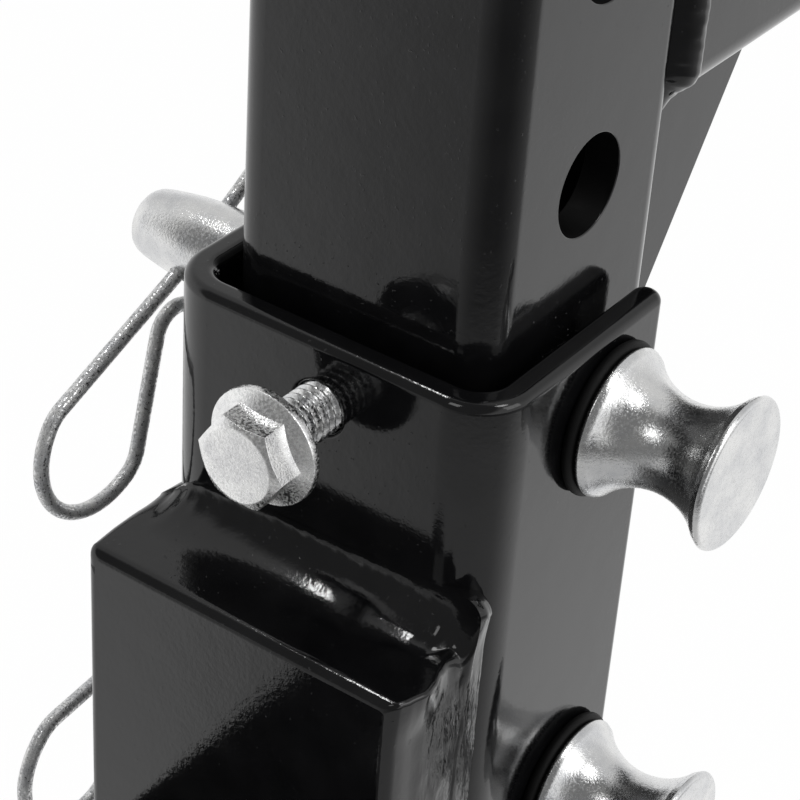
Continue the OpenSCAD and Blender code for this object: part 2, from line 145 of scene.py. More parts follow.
floor_z, floor_r, floor_sides = -0.6, 3, 48
mesh = bpy.data.meshes.new("floor")
mesh.from_pydata([
    (floor_r * math.cos(math.tau * k / floor_sides), floor_r * math.sin(math.tau * k / floor_sides) - 0.1, floor_z)
    for k in range(floor_sides)
], [], [list(range(floor_sides))])
floor = bpy.data.objects.new("floor", mesh)
bpy.context.scene.collection.objects.link(floor)
# The floor's glow is painted light and shade: plain white to the camera, darker or lighter in mirrors by where it lies
shaded_floor = bpy.data.materials.new("floor_glow_painted_shade")
shaded_floor.use_nodes = True
tree = shaded_floor.node_tree
tree.nodes.clear()
path = add_node(tree, "ShaderNodeLightPath")
seen = looked_at(tree, path)
# Painted shade: the floor's glow, which the gloss paint mirrors, is darker towards the dark room round the camera;
# how bright it is goes by the direction from the mount, as a cosine
spot = add_node(tree, "ShaderNodeTexCoord").outputs["Object"]
from_mount = add_node(tree, "ShaderNodeVectorMath", {"operation": "ADD", 1: (-0.02, 0.2, 0)}, {0: spot})
from_mount = add_node(tree, "ShaderNodeVectorMath", {"operation": "MULTIPLY", 1: (1, 1, 0)}, {0: from_mount.outputs[0]})
way = add_node(tree, "ShaderNodeVectorMath", {"operation": "NORMALIZE"}, {0: from_mount.outputs[0]})
near = add_node(tree, "ShaderNodeVectorMath", {"operation": "DOT_PRODUCT", 1: (0.766, -0.643, 0)}, {0: way.outputs[0]})
shade = add_node(tree, "ShaderNodeValToRGB", {}, {"Fac": near.outputs["Value"]})
stops = ((0.0, 0.95), (0.06, 0.75), (0.11, 0.6), (0.16, 0.5), (0.52, 0.35), (0.8, 0.22), (0.96, 0.13))
while len(shade.color_ramp.elements) < len(stops):
    shade.color_ramp.elements.new(0.5)
for element, (place, bright) in zip(shade.color_ramp.elements, stops):
    element.position, element.color = place, (bright, bright, bright, 1)
# Painted light: close to the mount the glow is brighter, as if the tent lit it more, and most on the side of the shank
distance = add_node(tree, "ShaderNodeVectorMath", {"operation": "LENGTH"}, {0: from_mount.outputs[0]})
close = add_node(tree, "ShaderNodeMapRange",
                 {"interpolation_type": "SMOOTHSTEP", "From Min": 0.7, "From Max": 1.1, "To Min": 0.52, "To Max": 0},
                 {"Value": distance.outputs["Value"]})
apart = add_node(tree, "ShaderNodeSeparateXYZ", {}, {"Vector": spot})
shank_side = add_node(tree, "ShaderNodeMapRange",
                      {"interpolation_type": "SMOOTHSTEP", "From Min": -0.35, "From Max": 0.3, "To Min": 1,
                       "To Max": 1.9}, {"Value": apart.outputs["Y"]})
close = add_node(tree, "ShaderNodeMath", {"operation": "MULTIPLY"},
                 {0: close.outputs["Result"], 1: shank_side.outputs["Result"]})
bright = add_node(tree, "ShaderNodeMath", {"operation": "MAXIMUM"}, {0: shade.outputs["Color"], 1: close.outputs[0]})
bright = add_node(tree, "ShaderNodeMath", {"operation": "MAXIMUM"},
                  {0: bright.outputs[0], 1: path.outputs["Is Camera Ray"]})
share = add_node(tree, "ShaderNodeMath", {"operation": "MULTIPLY", 1: 0.97}, {0: seen})
paint = add_node(tree, "ShaderNodeBsdfDiffuse", {"Color": srgb("#f4f4f4")})
glow = add_node(tree, "ShaderNodeEmission", {"Color": srgb("#ffffff")}, {"Strength": bright.outputs[0]})
mixed = add_node(tree, "ShaderNodeMixShader", {}, {0: share.outputs[0], 1: paint.outputs[0], 2: glow.outputs[0]})
add_node(tree, "ShaderNodeOutputMaterial", {}, {"Surface": mixed.outputs[0]})
mesh.materials.append(shaded_floor)


# The shank. It is a length of 2 inch square steel tube with a 1/4 inch wall, sawn square, deburred and drilled for
# the receiver pin. It is welded to the drop bar's back and powder coated with it in gloss black.
def new_material(name):
    """A material with its tree of nodes and its shader."""
    made = bpy.data.materials.new(name)
    made.use_nodes = True
    return made, made.node_tree, made.node_tree.nodes["Principled BSDF"]


def powder_coat(name, peel_mm=0.016, weld_flow=False):
    """Gloss black polyester powder coat: a hard mirror on black, whose orange peel tears what it mirrors."""
    coat, tree, shader = new_material(name)
    shader.inputs["IOR"].default_value = 1.5
    place = add_node(tree, "ShaderNodeTexCoord").outputs["Object"]
    # Orange peel: cells of about a millimetre, some hundredths of a millimetre deep, on a slow swell of 7 mm
    peel = add_node(tree, "ShaderNodeTexNoise", {"Scale": 1000 / 1.1, "Detail": 3, "Roughness": 0.6},
                    {"Vector": place})
    swell = add_node(tree, "ShaderNodeTexNoise", {"Scale": 1000 / 7, "Detail": 1}, {"Vector": place})
    # Dust nibs: grains of 0.2 mm that stand up here and there
    grain = add_node(tree, "ShaderNodeTexNoise", {"Scale": 1000 / 0.55, "Detail": 0}, {"Vector": place})
    nib = add_node(tree, "ShaderNodeMapRange", {"From Min": 0.8, "From Max": 0.86}, {"Value": grain.outputs["Fac"]})
    slow = add_node(tree, "ShaderNodeBump", {"Strength": 1, "Distance": 0.00003}, {"Height": swell.outputs["Fac"]})
    fine = add_node(tree, "ShaderNodeBump", {"Strength": 1, "Distance": peel_mm / 1000},
                    {"Height": peel.outputs["Fac"], "Normal": slow.outputs["Normal"]})
    last = add_node(tree, "ShaderNodeBump", {"Strength": 1, "Distance": 0.00002},
                    {"Height": nib.outputs["Result"], "Normal": fine.outputs["Normal"]})
    if weld_flow:
        # Lumps and runs of the right side's weld under the paint, drawn out up and down: where it starts and is full
        apart = add_node(tree, "ShaderNodeSeparateXYZ", {}, {"Vector": place})
        share = None
        for axis, start, full in (
            ("X", 0.0285, 0.0310), ("Y", -0.2330, -0.2250), ("Z", -0.1500, -0.1400), ("Z", -0.0980, -0.1040),
        ):
            near = add_node(tree, "ShaderNodeMapRange",
                            {"interpolation_type": "SMOOTHSTEP", "From Min": start, "From Max": full},
                            {"Value": apart.outputs[axis]}).outputs["Result"]
            share = near if share is None else add_node(
                tree, "ShaderNodeMath", {"operation": "MULTIPLY"}, {0: share, 1: near}).outputs[0]
        drawn = add_node(tree, "ShaderNodeVectorMath",
                         {"operation": "MULTIPLY", 1: (1000 / 1.3, 1000 / 1.3, 1000 / 5)}, {0: place})
        runs = add_node(tree, "ShaderNodeTexNoise", {"Scale": 1, "Detail": 3, "Roughness": 0.55},
                        {"Vector": drawn.outputs[0]})
        height = add_node(tree, "ShaderNodeMath", {"operation": "MULTIPLY"}, {0: share, 1: runs.outputs["Fac"]})
        last = add_node(tree, "ShaderNodeBump", {"Strength": 1, "Distance": 0.00028},
                        {"Height": height.outputs[0], "Normal": last.outputs["Normal"]})
    tree.links.new(last.outputs["Normal"], shader.inputs["Normal"])
    # The black is a shade greyer where the powder lies thin, and the gloss varies a little
    tone = add_node(tree, "ShaderNodeValToRGB", {}, {"Fac": swell.outputs["Fac"]})
    tone.color_ramp.elements[0].position, tone.color_ramp.elements[0].color = 0.3, srgb("#080809")
    tone.color_ramp.elements[1].position, tone.color_ramp.elements[1].color = 0.75, srgb("#0e0e0f")
    tree.links.new(tone.outputs["Color"], shader.inputs["Base Color"])
    gloss = add_node(tree, "ShaderNodeMapRange", {"To Min": 0.05, "To Max": 0.11}, {"Value": swell.outputs["Fac"]})
    tree.links.new(gloss.outputs["Result"], shader.inputs["Roughness"])
    return coat


gloss_black = powder_coat("gloss_black_powder_coat")


def round_square(width, radius, steps=10):
    """Corners of a square with round corners, anticlockwise, in millimetres."""
    half = width / 2 - radius
    return [
        (sx * half + radius * math.cos(turn), sy * half + radius * math.sin(turn))
        for quarter, (sx, sy) in enumerate(((1, 1), (-1, 1), (-1, -1), (1, -1)))
        for turn in (math.pi / 2 * (quarter + k / steps) for k in range(steps + 1))
    ]


def skin(name, rings, material, loop=False, caps=True):
    """A piece in millimetres, skinned from ring to ring of equally many points, with its faces turned outwards."""
    count, size = len(rings), len(rings[0])
    faces = [
        (i * size + j, i * size + (j + 1) % size, (i + 1) % count * size + (j + 1) % size, (i + 1) % count * size + j)
        for i in range(count if loop else count - 1)
        for j in range(size)
    ]
    if caps and not loop:
        faces += [tuple(reversed(range(size))), tuple((count - 1) * size + j for j in range(size))]
    shape = bmesh.new()
    made = [shape.verts.new(Vector(p) / 1000) for ring in rings for p in ring]
    for face in faces:
        shape.faces.new([made[i] for i in face])
    bmesh.ops.remove_doubles(shape, verts=shape.verts, dist=2e-6)
    bmesh.ops.dissolve_degenerate(shape, edges=shape.edges, dist=1e-7)
    bmesh.ops.recalc_face_normals(shape, faces=shape.faces)
    mesh = bpy.data.meshes.new(name)
    shape.to_mesh(mesh)
    shape.free()
    mesh.materials.append(material)
    obj = bpy.data.objects.new(name, mesh)
    bpy.context.scene.collection.objects.link(obj)
    return obj


def rod(start, end, radius, steps=64):
    """A cutter: a round bar between two points, in millimetres."""
    start, end = Vector(start), Vector(end)
    turn = (end - start).to_track_quat("Z", "Y")
    ring = [turn @ Vector((radius * math.cos(math.tau * k / steps), radius * math.sin(math.tau * k / steps), 0))
            for k in range(steps)]
    return skin("cutter", [[start + p for p in ring], [end + p for p in ring]], gloss_black)


def settle(obj):
    """Makes a piece's modifiers part of its mesh."""
    depsgraph = bpy.context.evaluated_depsgraph_get()
    obj.data = bpy.data.meshes.new_from_object(
        obj.evaluated_get(depsgraph), preserve_all_data_layers=True, depsgraph=depsgraph)
    obj.modifiers.clear()


def work(obj, cut=(), keep=(), round_mm=0.0, steps=3, angle=40):
    """Cuts a piece with cutters, keeps what lies inside others, rounds its sharp edges and evens its shading."""
    for operation, tools in (("INTERSECT", keep), ("DIFFERENCE", cut)):
        for tool in tools:
            made = obj.modifiers.new("tool", "BOOLEAN")
            made.operation, made.object, made.solver = operation, tool, "EXACT"
    if round_mm:
        made = obj.modifiers.new("edges", "BEVEL")
        made.width, made.segments, made.limit_method = round_mm / 1000, steps, "ANGLE"
        made.angle_limit = math.radians(angle)
    settle(obj)
    for tool in (*cut, *keep):
        bpy.data.objects.remove(tool)
    obj.data.polygons.foreach_set("use_smooth", [True] * len(obj.data.polygons))
    obj.data.set_sharp_from_angle(angle=math.radians(angle))
    even = obj.modifiers.new("even", "WEIGHTED_NORMAL")
    even.keep_sharp = True
    settle(obj)


tube_w, tube_wall, tube_corner = 50.8, 6.35, 6.4
bar_y, shank_end = -185.0, 51.0
bar_back = bar_y + tube_w / 2
receiver_hole_r = 16.7 / 2
# The drills for the cross holes end this far to both sides of the middle, well past the tube's walls
drill_end = 40
outside = round_square(tube_w, tube_corner)
inside = round_square(tube_w - 2 * tube_wall, tube_corner - tube_wall / 2)
shank = skin("shank_tube", [
    [(x, y, z) for x, z in section]
    for section, y in ((outside, shank_end), (outside, bar_back), (inside, bar_back), (inside, shank_end))
], gloss_black, loop=True)
work(shank, cut=[rod((-drill_end, 0, 0), (drill_end, 0, 0), receiver_hole_r)], round_mm=0.8)
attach(shank, "hitch_frame")
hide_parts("shank")


# The drop bar. It is the same square tube stood upright, with five 17.3 mm holes drilled through both sides on a
# 39.7 mm pitch, so that the collar can be pinned at several heights.
bar_top, bar_foot = 32.2, -167.8
hole_r, hole_pitch, top_hole = 17.3 / 2, 39.7, 11.6
bar = skin("drop_bar_tube", [
    [(x, bar_y + y, z) for x, y in section]
    for section, z in ((outside, bar_top), (outside, bar_foot), (inside, bar_foot), (inside, bar_top))
], gloss_black, loop=True)
work(bar, cut=[
    rod((-drill_end, bar_y, z), (drill_end, bar_y, z), hole_r)
    for z in (top_hole - hole_pitch * k for k in range(5))
], round_mm=0.9)
# Inside the tube and in its holes the powder hardly settles: thin overspray on mill scale, rough and sooty to the eye
dull, tree, shader = new_material("thin_overspray_on_mill_scale")
shader.inputs["IOR"].default_value = 1.25
place = add_node(tree, "ShaderNodeTexCoord").outputs["Object"]
scale = add_node(tree, "ShaderNodeTexNoise", {"Scale": 1000 / 2.5, "Detail": 4}, {"Vector": place})
tone = add_node(tree, "ShaderNodeValToRGB", {}, {"Fac": scale.outputs["Fac"]})
tone.color_ramp.elements[0].color, tone.color_ramp.elements[1].color = srgb("#030303"), srgb("#080808")
tree.links.new(tone.outputs["Color"], shader.inputs["Base Color"])
coarse = add_node(tree, "ShaderNodeMapRange", {"To Min": 0.45, "To Max": 0.75}, {"Value": scale.outputs["Fac"]})
tree.links.new(coarse.outputs["Result"], shader.inputs["Roughness"])
bump = add_node(tree, "ShaderNodeBump", {"Strength": 1, "Distance": 0.00004}, {"Height": scale.outputs["Fac"]})
tree.links.new(bump.outputs["Normal"], shader.inputs["Normal"])
bar.data.materials.append(dull)
coated_depth = 1.9
for face in bar.data.polygons:
    if max(abs(face.center.x), abs(face.center.y - bar_y / 1000)) < (tube_w / 2 - coated_depth) / 1000:
        face.material_index = 1
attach(bar, "hitch_frame")
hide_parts("drop_bar")


# The shank's weld. A wire-fed bead runs all round the tube where it meets the bar, with the small overlapping
# ripples that the torch leaves, and it is coated with the rest.
def walk(corners, step):
    """Points and outward directions every so many millimetres along a closed line of points and directions."""
    out = []
    for (a, na), (b, nb) in zip(corners, corners[1:] + corners[:1]):
        a, b, na, nb = Vector(a), Vector(b), Vector(na), Vector(nb)
        count = max(1, round((b - a).length / step))
        out += [(a.lerp(b, k / count), na.lerp(nb, k / count)) for k in range(count)]
    return out


# The bead's line round the tube, and its height over the tube from its toe on the bar to its toe on the tube. At the
# sides it starts deep in the groove that the bar's round corner leaves, above and below it is a plain fillet.
rings = []
for point, out in walk([
    ((sx * (tube_w / 2 - tube_corner) + tube_corner * math.cos(turn), 0,
      sz * (tube_w / 2 - tube_corner) + tube_corner * math.sin(turn)), (math.cos(turn), 0, math.sin(turn)))
    for quarter, (sx, sz) in enumerate(((1, 1), (-1, 1), (-1, -1), (1, -1)))
    for turn in (math.pi / 2 * (quarter + k / 6) for k in range(7))
], 0.4):
    at_side = abs(out.x) ** 1.5
    near_toe = bar_back + 0.1 - 2.4 * at_side
    far_toe = bar_back + 5.9 + 0.25 * noise.noise(point / 6)
    ring = []
    for k in range(33):
        t = k / 32
        y = near_toe + (far_toe - near_toe) * t
        ripple = 0.05 * math.sin(math.tau * (point.z + point.x) / 2.3 + 5 * t)
        ripple += 0.15 * noise.noise(Vector((point.x, y, point.z)) / 2.6)
        high = (-2.6 + 13.5 * t - 10.7 * t * t) * at_side + (5.4 * (1 - t) ** 1.5 + 0.2 * t) * (1 - at_side)
        high -= 1.6 * (2 * out.x * out.z) ** 2 * (1 - t ** 4)
        ring.append(point + (high + ripple * 3.4 * t * (1 - t)) * out + Vector((0, y, 0)))
    ring += [point - 3 * out + Vector((0, y, 0)) for y in (far_toe - 0.05, near_toe + 0.05)]
    rings.append(ring)
ring_bead = skin("shank_bead", rings, gloss_black, loop=True)
work(ring_bead, angle=65)
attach(ring_bead, "hitch_frame")
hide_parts("shank_weld")


# The gusset. It is a triangle of 8 mm plate, laser cut, that stiffens the corner under the shank. Its inner corner
# is clipped to clear the shank's bead, and a fillet bead runs down each side of it.
gusset_t, gusset_foot, gusset_rear, clipped_off = 8.0, -146.4, -81.0, 10.0
gusset_top, under_shank = -tube_w / 2 - clipped_off, -tube_w / 2
outline = [(bar_back, gusset_top), (bar_back, gusset_foot), (gusset_rear, under_shank),
           (bar_back + clipped_off, under_shank)]
gusset = skin("gusset_plate", [[(x, y, z) for y, z in outline] for x in (-gusset_t / 2, gusset_t / 2)], gloss_black)
work(gusset, round_mm=0.7)
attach(gusset, "hitch_frame")
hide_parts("gusset")

bead_end, bead_r = 4.0, 2.6
ripple_pitch, ripple_depth = 1.9, 0.22


def bead(name, line):
    """A weld bead along points and outward directions in millimetres, tapered at its ends, with crescent ripples."""
    rings = []
    travelled = 0.0
    for i, (point, out) in enumerate(line):
        point, out = Vector(point), Vector(out).normalized()
        before = Vector(line[max(0, i - 1)][0])
        after = Vector(line[min(i + 1, len(line) - 1)][0])
        travelled += (point - before).length
        side = (after - before).normalized().cross(out)
        t = i / (len(line) - 1)
        size = bead_r * min(1, 6 * t + 0.35, 6 * (1 - t) + 0.35)
        ring = []
        for k in range(16):
            turn = math.tau * k / 16
            # Each ripple lags at the bead's sides, so it lies across the bead as a crescent
            lag = 1.3 * bead_r * (1 - max(0.0, math.cos(turn))) * 0.5
            wave = (travelled - lag) / ripple_pitch + 0.5 * noise.noise(point / 2.1)
            wobble = 0.18 * noise.noise(point / 5 + out * 3)
            r = size + ripple_depth * (abs(math.sin(math.pi * wave)) - 0.6) + wobble
            ring.append(point + r * (math.cos(turn) * out + math.sin(turn) * side))
        rings.append(ring)
    return skin(name, rings, gloss_black)


for number, (start, end) in enumerate((
    ((bar_back, gusset_top - bead_end), (bar_back, gusset_foot + bead_end)),
    ((bar_back + clipped_off + bead_end, under_shank), (gusset_rear - bead_end, under_shank)),
)):
    for side in (-1, 1):
        count = round((Vector(start) - Vector(end)).length / 0.4)
        out = (side, 1, 0) if number == 0 else (side, 0, -1)
        fillet = bead("gusset_bead_%d_%s" % (number, "right" if side > 0 else "left"), [
            ((side * gusset_t / 2, start[0] + (end[0] - start[0]) * k / count,
              start[1] + (end[1] - start[1]) * k / count), out)
            for k in range(count + 1)
        ])
        work(fillet, angle=80)
        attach(fillet, "hitch_frame")
        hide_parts("gusset_weld")


# The collar. It is a channel bent from 5.3 mm strip, with rolled edges and rounded leg ends, that slides on the bar
# and takes both pins through its sides. The anti-rattle bolt's thread is tapped through its front wall.
collar_half, collar_front, leg_end = 33.0, -218.5, -168.5
collar_top, collar_foot = -51.6, -163.4
wall, corner_r, rolled_r = 5.3, 10.2, 1.8
upper_z, lower_z, bolt_z = -67.8, -147.2, -63.8
tapped_r = 4.8
profile = [
    (su * (wall / 2 - rolled_r) + rolled_r * math.cos(turn), zc + rolled_r * math.sin(turn))
    for quarter, (su, zc) in enumerate((
        (1, collar_top - rolled_r), (-1, collar_top - rolled_r),
        (-1, collar_foot + rolled_r), (1, collar_foot + rolled_r),
    ))
    for turn in (math.pi / 2 * (quarter + k / 8) for k in range(9))
]


def wall_ring(x, y, out, along=(0, 0), turned=0.0):
    """The wall's section at a point of its middle line; turned about that line it makes the round leg end."""
    return [(
        x + out[0] * u * math.cos(turned) + along[0] * abs(u) * math.sin(turned),
        y + out[1] * u * math.cos(turned) + along[1] * abs(u) * math.sin(turned),
        z,
    ) for u, z in profile]


middle = collar_half - wall / 2
bend_r = corner_r - wall / 2
bend_x, bend_y = collar_half - corner_r, collar_front + corner_r
leg_stop = leg_end - wall / 2
quarter_turns = [math.pi / 2 * k / 16 for k in range(17)]
rings = [wall_ring(middle, leg_stop, (1, 0), (0, 1), math.pi / 2 * (1 - k / 8)) for k in range(9)]
for side, turns in ((1, quarter_turns), (-1, quarter_turns[::-1])):
    rings += [
        wall_ring(side * (bend_x + bend_r * math.cos(turn)), bend_y - bend_r * math.sin(turn),
                  (side * math.cos(turn), -math.sin(turn)))
        for turn in turns
    ]
rings += [wall_ring(-middle, leg_stop, (-1, 0), (0, 1), math.pi / 2 * k / 8) for k in range(9)]
collar = skin("collar_channel", rings, gloss_black, caps=False)
work(collar, cut=[
    rod((-tube_w, bar_y, upper_z), (tube_w, bar_y, upper_z), hole_r),
    rod((-tube_w, bar_y, lower_z), (tube_w, bar_y, lower_z), hole_r),
    rod((0, collar_front - wall, bolt_z), (0, collar_front + 2 * wall, bolt_z), tapped_r),
], round_mm=0.7)
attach(collar, "hitch_frame")
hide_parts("collar")


# The ball platform. It is a steel forging: an upright block on the collar's front, with a tongue that carries the
# ball. It is welded to the collar over its top and down both sides, and the welds are dressed so smooth that paint
# makes one skin of block and weld: a wide hollow along the top that ends in a raised lip, and full, swollen sides.
plate_front, platform_top, platform_foot, tongue_top = -238.7, -94.9, -179.4, -160.4
platform_half, fillet_r, ball_y, die_r, foot_r = 31.2, 8.0, -300.7, 2.0, 1.6


def clipped(value):
    """A value held between 0 and 1."""
    return min(1.0, max(0.0, value))


def through(stops, at):
    """Value at a place between stops of (place, value), eased from stop to stop."""
    if at <= stops[0][0]:
        return stops[0][1]
    for (p, a), (q, b) in zip(stops, stops[1:]):
        if at <= q:
            t = (at - p) / (q - p)
            return a + (b - a) * t * t * (3 - 2 * t)
    return stops[-1][1]


# The block's right and left sides at its top edge and lower down, by Y, and the rounding of the top edge
right_top = ((-238.7, 31.4), (-237, 32.2), (-235, 33.0), (-232, 33.8), (-229.5, 33.4), (-226.5, 32.5), (-223.8, 32.0),
             (-221.5, 32.7), (-219.2, 33.9), (-217.4, 34.3), (-215.4, 33.8), (-212.8, 31.2))
right_low = ((-238.7, 31.4), (-234, 32.0), (-229, 32.6), (-224, 33.0), (-219, 33.3), (-216, 33.0), (-212.8, 31.4))
right_edge = ((-238.7, 0.9), (-228, 0.8), (-223.5, 1.3), (-221, 2.8), (-218.5, 3.6), (-213, 3.6))
left_low = ((-238.7, 31.2), (-230, 31.8), (-224, 32.2), (-219, 32.3), (-215, 32.2), (-212.8, 31.8))
left_edge = ((-238.7, 1.4), (-230, 1.6), (-222, 2.6), (-213, 3.4))
# The hollow's foot line on the block's top, and its height on the collar, by X
hollow_foot = ((-33, -221), (-31, -222), (-26, -229.5), (0, -231), (14, -229.6), (24, -227.6), (27.4, -226.8),
               (30.4, -221.8), (35, -221))
hollow_rise = ((-33, 0.2), (-31, 0.6), (-29, 1.6), (-27, 3.2), (-25, 4.8), (-22, 5.6), (-16, 6.4), (-8, 7.1),
               (6, 7.4), (16, 8.2), (27, 8.8), (31, 9.0), (34, 8.8))
# Behind its upper line the weld falls away where the collar's right corner leaves it free, by X
weld_fall = ((24, 0.0), (28, 0.8), (33, 2.6))
weld_back, weld_foot = -212.8, -159.2
toe_y = collar_front - 0.25
side_x = 31


def block_row(front, hollow, back):
    """One row over the block from the right foot over the top to the left foot. front is 0 to 1 through the rounded
    front edge and 1 to 2 on to the hollow's foot, hollow 0 to 1 up the hollow, back 0 to 1 behind the weld's line."""
    def at(x, z):
        """The row's Y there, how far the rounding insets it, and how far up the hollow it lies."""
        foot = through(hollow_foot, x)
        sunk = tongue_top + fillet_r - z
        round_r = die_r if sunk < 0 else max(0.03, die_r * (1 - sunk / 9))
        if front < 1:
            turn = math.pi / 2 * front
            return plate_front + round_r * (1 - math.cos(turn)), round_r * (1 - math.sin(turn)), 0.0
        if front < 2:
            start = plate_front + round_r
            return start + (foot - start) * (front - 1), 0.0, 0.0
        if not back:
            return foot + (toe_y - foot) * hollow, 0.0, 1 - math.sqrt(max(0.0, 1 - hollow * hollow))
        return toe_y + (weld_back - toe_y) * back, 0.0, 1.0

    low = platform_foot if at(side_x, platform_top)[0] < collar_front + 0.1 else weld_foot - 3
    flanks = []
    for side in (1, -1):
        y, _, lift = at(side * side_x, platform_top)
        top_w = through(right_top if side > 0 else left_low, y)
        low_w = through(right_low if side > 0 else left_low, y)
        edge_r = through(right_edge if side > 0 else left_edge, y)
        top = platform_top + through(hollow_rise, side * side_x) * lift
        top -= through(weld_fall, side * side_x) * back ** 1.5
        column = []
        # Up the side: the swelling fades out round the weld's foot
        for k in range(56):
            z = low + (top - edge_r - low) * (1 - (1 - k / 55) ** 2.2)
            mix = clipped((top - z) / 11)
            w = top_w + (low_w - top_w) * mix * mix * (3 - 2 * mix)
            if w > platform_half:
                w = platform_half + (w - platform_half) * math.sqrt(clipped((z - (weld_foot - 3)) / 9))
            if low == platform_foot and z < low + foot_r:
                w -= foot_r - math.sqrt(max(0.0, foot_r ** 2 - (low + foot_r - z) ** 2))
            column.append((w, z))
        for k in range(1, 9):
            turn = math.pi / 2 * k / 8
            column.append((top_w - edge_r + edge_r * math.cos(turn), top - edge_r + edge_r * math.sin(turn)))
        flank = []
        for w, z in column:
            y, inset, _ = at(side * side_x, z)
            # Runs and lumps of the side weld, and the wavy groove where it meets the block's side
            rough = clipped((y + 234) / 7) * clipped((-97 - z) / 5) * clipped((z - weld_foot) / 8)
            streak = rough * (0.10 * noise.noise(Vector((side * 9, y / 1.1, z / 14)))
                              + 0.22 * noise.noise(Vector((side * 5, y / 2.4, z / 4.5))))
            groove = -221.2 + 1.4 * noise.noise(Vector((side * 2, 0.5, z / 7)))
            streak -= 0.4 * rough * math.exp(-((y - groove) / 0.45) ** 2)
            flank.append((side * (w - inset + streak), y, z - inset * (z > platform_top - 3)))
        flanks.append(flank)
    # Over the top, from the right edge to the left
    right, left = flanks
    across = []
    for k in range(1, 100):
        x = right[-1][0] + (left[-1][0] - right[-1][0]) * k / 100
        y, inset, lift = at(x, platform_top)
        z = platform_top - inset + through(hollow_rise, x) * lift
        z -= through(weld_fall, x) * back ** 1.5
        if 0.35 < lift < 1.0 and not back:
            # Faint ripples of the last pass, left standing just below its upper edge
            band = min(1.0, (lift - 0.35) / 0.3) * (1 - lift ** 6)
            y -= band * 0.09 * noise.noise(Vector((x / 1.7, z / 0.9, 0)))
            y -= band * 0.05 * noise.noise(Vector((x / 0.8, z / 0.6, 4)))
        across.append((x, y, z))
    return right + across + left[::-1]


rows = [block_row(k / 8, 0, 0) for k in range(8)]
rows += [block_row(1 + k / 14, 0, 0) for k in range(14)]
rows += [block_row(2, math.sin(math.pi / 2 * k / 26), 0) for k in range(27)]
rows += [block_row(2, 1, k / 14) for k in range(1, 15)]
# Over the forging's scale the coat peels more, which gives the eye a wavier mirror, and it shows the weld's runs
block = skin("ball_platform_block", rows,
             powder_coat("gloss_black_powder_coat_over_forging", peel_mm=0.03, weld_flow=True))
work(block, angle=60)

# The tongue's own rounding ends where the block starts, so that the two skins meet and don't lie in one plane
root_y, nose_y = plate_front + foot_r + 0.03, ball_y - platform_half
side_view = [(root_y, platform_foot), (nose_y, platform_foot), (nose_y, tongue_top)]
side_view += [
    (plate_front - fillet_r + fillet_r * math.sin(turn), tongue_top + fillet_r - fillet_r * math.cos(turn))
    for turn in (math.pi / 2 * k / 16 for k in range(17))
]
side_view += [(root_y, tongue_top + fillet_r)]
tongue = skin("ball_platform_tongue", [
    [(x, y, z) for y, z in side_view] for x in (-platform_half, platform_half)
], gloss_black)
nose = [(platform_half, plate_front + 9), (-platform_half, plate_front + 9)]
nose += [(platform_half * math.cos(turn), ball_y + platform_half * math.sin(turn))
         for turn in (math.pi * (1 + k / 64) for k in range(65))]
plan = skin("plan", [[(x, y, z) for x, y in nose] for z in (platform_foot - 9, tongue_top + 29)], gloss_black)
ball_hole_r = 25.8 / 2
work(tongue, keep=[plan], cut=[rod((0, ball_y, platform_foot - 9), (0, ball_y, tongue_top + 9), ball_hole_r, 96)],
     round_mm=foot_r, steps=4, angle=40)
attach(block, "hitch_frame")
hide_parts("ball_platform", "platform_weld")
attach(tongue, "hitch_frame")
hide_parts("ball_platform")


# The anti-rattle bolt. It is a 3/8 inch hexagon flange bolt, cold headed, thread rolled and zinc plated. It screws
# through the collar's front and presses the bar against the pins.
def zinc_plate(name, roughness, blotch=12.0, lines=None, depth=0.0, grains=0.000018, tones=("#cbccce", "#e6e6e5")):
    """Clear-passivated bright zinc on steel: a soft silver mirror, crystalline and faintly clouded."""
    plate, tree, shader = new_material(name)
    shader.inputs["Metallic"].default_value = 1
    place = add_node(tree, "ShaderNodeTexCoord").outputs["Object"]
    cloud = add_node(tree, "ShaderNodeTexNoise", {"Scale": 1000 / blotch, "Detail": 6, "Roughness": 0.65},
                     {"Vector": place})
    tone = add_node(tree, "ShaderNodeValToRGB", {}, {"Fac": cloud.outputs["Fac"]})
    tone.color_ramp.elements[0].position, tone.color_ramp.elements[0].color = 0.32, srgb(tones[0])
    tone.color_ramp.elements[1].position, tone.color_ramp.elements[1].color = 0.62, srgb(tones[1])
    tree.links.new(tone.outputs["Color"], shader.inputs["Base Color"])
    # Plating crystals, drawn at about 0.4 mm so that they show: they speckle the edges of what it mirrors
    grain = add_node(tree, "ShaderNodeTexNoise", {"Scale": 1000 / 0.45, "Detail": 3, "Roughness": 0.65},
                     {"Vector": place})
    bump = add_node(tree, "ShaderNodeBump", {"Strength": 1, "Distance": grains}, {"Height": grain.outputs["Fac"]})
    # Some crystals are matt: they show as light flecks where the rest mirrors dark
    matt = add_node(tree, "ShaderNodeMapRange",
                    {"From Min": 0.38, "From Max": 0.66, "To Min": roughness * 0.6, "To Max": roughness * 4},
                    {"Value": grain.outputs["Fac"]})
    tree.links.new(matt.outputs["Result"], shader.inputs["Roughness"])
    if lines:
        # Turning marks across the given axis, drawn about 1 mm apart and so coarser than real ones, so that they show
        turned = add_node(tree, "ShaderNodeTexWave",
                          {"wave_type": "BANDS", "bands_direction": lines, "Scale": 310,
                           "Distortion": 1.5, "Detail": 2, "Detail Scale": 1.5}, {"Vector": place})
        bump = add_node(tree, "ShaderNodeBump", {"Strength": 1, "Distance": depth},
                        {"Height": turned.outputs["Fac"], "Normal": bump.outputs["Normal"]})
    tree.links.new(bump.outputs["Normal"], shader.inputs["Normal"])
    return plate


